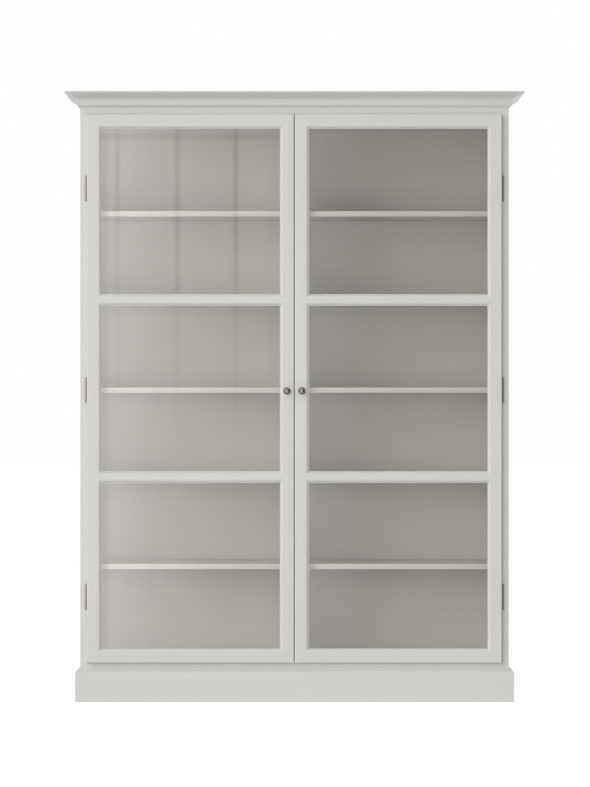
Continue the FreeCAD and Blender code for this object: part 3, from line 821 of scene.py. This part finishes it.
def screen_glow(x, z, stage):
    """Glow of the mirrored screens at (x, z).

    d goes from 0 at a height of 2.11 m to 1 at 0.03 m. t goes from 0 at 0.05 m left of the middle to 1 at
    0.78 m, and s from 0 at 0.07 m right of it to 1 at 0.77 m and on.

    The left screen is 1.83 - 1.6 t + 4.2 t^2 + d (0.7 t - 0.4), less three soft dips. At each upright seam
    the dip is 1.25 - 1.8 d deep, but from 0 to 0.85. At the cross bar it is 0.8 deep. At the outer edge it
    grows with the square from 0 at t = 0.93 to 1.15 at t = 1.

    The right screen is 0.18 + 0.66 d + 1.5 (1 - s/0.4)^2, without the last term past s = 0.4.

    Between 0.8 m and 1.2 m from the middle, as f goes from 0 to 1, both pass into the white around them by
    3 f^2 - 2 f^3.
    """
    d = 1.014 - 0.481 * z
    t = np.clip(-0.07 - 1.368 * x, 0, 1)
    s = np.clip(1.432 * x - 0.107, 0, None)
    seams = np.exp(-((x[..., None] - np.array(SEAM_PLACES)) / SEAM_WIDTH) ** 2).sum(-1)
    bar = 0.8 * np.exp(-((z - BAR_HEIGHT) / SEAM_WIDTH) ** 2)
    edge = 1.15 * np.clip((t - 0.93) / 0.07, 0, 1) ** 2
    dips = np.clip(1.25 - 1.8 * d, 0, 0.85) * seams + bar + edge
    left = 1.83 - 1.6 * t + 4.2 * t ** 2 + d * (0.7 * t - 0.4) - dips
    right = 0.18 + 0.66 * d + 1.5 * np.clip(1 - s / 0.4, 0, None) ** 2
    glow = np.where(x < 0, stage.screen_left * left, stage.screen_right * right)
    f = np.clip((np.abs(x) - 0.8) / 0.4, 0, 1)
    fade = f ** 2 * (3 - 2 * f)
    return glow + (1 - glow) * fade


def set_the_screens(context, stage):
    """Upright screens before the doors, seen in their glass and metal, and dark flags below and on the right.

    They show only to sight that a mirror face has turned. The flag below lightens towards the screens, so
    that no hard line shows in the panes.
    """
    half, foot, top = 1.3, 0.01, 2.5
    front, near, back = -2.5, -2.49, -0.5
    columns, rows = 521, 251
    near_left_glow, near_right_glow = 2.5, 0.9
    x, z = np.meshgrid(np.linspace(-half, half, columns), np.linspace(foot, top, rows), indexing="ij")
    upright = np.stack([x, np.full_like(x, front), z], axis=-1)
    here = np.arange(columns - 1)[:, None] * rows + np.arange(rows - 1)[None]
    quads = np.stack([here, here + rows, here + rows + 1, here + 1], axis=-1).reshape(-1, 4)
    flags = np.array([
        (-half, near, foot), (half, near, foot), (half, back, foot), (-half, back, foot),
        (half, front, foot), (half, front, top), (half, back, top), (half, back, foot)])
    points = np.concatenate([upright.reshape(-1, 3), flags])
    faces = [*quads.tolist(), *(np.arange(8).reshape(2, 4) + x.size).tolist()]
    flag_glow = [near_left_glow, near_right_glow, *np.full(6, FLAG_GLOW)]
    glow = np.concatenate([screen_glow(x, z, stage).ravel(), flag_glow])
    tree = material_tree("mirrored_screens")
    level = add(tree, "ShaderNodeAttribute", attribute_name="glow").outputs["Fac"]
    light = add(tree, "ShaderNodeEmission", {"Color": opaque(linear("#FFFDF9")), "Strength": level})
    mirrored = add(tree, "ShaderNodeMath", {
        0: add(tree, "ShaderNodeLightPath").outputs["Glossy Depth"], 1: 1.0}, operation="MINIMUM")
    mix = add(tree, "ShaderNodeMixShader", {
        0: mirrored.outputs[0], 1: add(tree, "ShaderNodeBsdfTransparent").outputs["BSDF"],
        2: light.outputs["Emission"]})
    surface(tree, mix.outputs["Shader"])
    screens = stage_sheet(context, "mirrored_screens", points.tolist(), faces, "mirrored_screens")
    screens.data.attributes.new("glow", "FLOAT", "POINT").data.foreach_set("value", glow)
    for sight in ("camera", "diffuse", "shadow", "volume_scatter"):
        setattr(screens, "visible_" + sight, False)


class BOOKCASE_PT_panel(bpy.types.Panel):
    """Lists the bookcase's steps"""

    bl_idname = "BOOKCASE_PT_panel"
    bl_label = "Bookcase"
    bl_space_type = "VIEW_3D"
    bl_region_type = "UI"
    bl_category = "Bookcase"

    def draw(self, context):
        for operator in OPERATORS:
            self.layout.operator(operator.bl_idname)


OPERATORS = (
    BOOKCASE_OT_finish, BOOKCASE_OT_crown, BOOKCASE_OT_plinth, BOOKCASE_OT_shelves, BOOKCASE_OT_knobs,
    BOOKCASE_OT_screws, BOOKCASE_OT_hinge_pins, BOOKCASE_OT_catch_poles, BOOKCASE_OT_stage)
GROUPS = {
    "bookcase_joinery": BookcaseJoinery,
    "bookcase_hardware": BookcaseHardware,
    "bookcase_finish": BookcaseFinish,
    "bookcase_stage": BookcaseStage,
}
CLASSES = (*GROUPS.values(), *OPERATORS, BOOKCASE_PT_panel)


def register():
    """Adds the classes and the scene's settings."""
    for cls in CLASSES:
        bpy.utils.register_class(cls)
    for name, group in GROUPS.items():
        setattr(bpy.types.Scene, name, bpy.props.PointerProperty(type=group))


def unregister():
    """Takes the settings and the classes away again."""
    for name in GROUPS:
        delattr(bpy.types.Scene, name)
    for cls in reversed(CLASSES):
        bpy.utils.unregister_class(cls)


def main():
    """Builds everything in order."""
    register()
    bpy.context.scene.view_settings.view_transform = "Standard"
    bpy.ops.bookcase.finish()
    bpy.ops.bookcase.crown()
    bpy.ops.bookcase.plinth()
    bpy.ops.bookcase.shelves()
    bpy.ops.bookcase.knobs()
    bpy.ops.bookcase.screws()
    bpy.ops.bookcase.hinge_pins()
    bpy.ops.bookcase.catch_poles()
    bpy.ops.bookcase.stage()


if __name__ == "__main__":
    main()
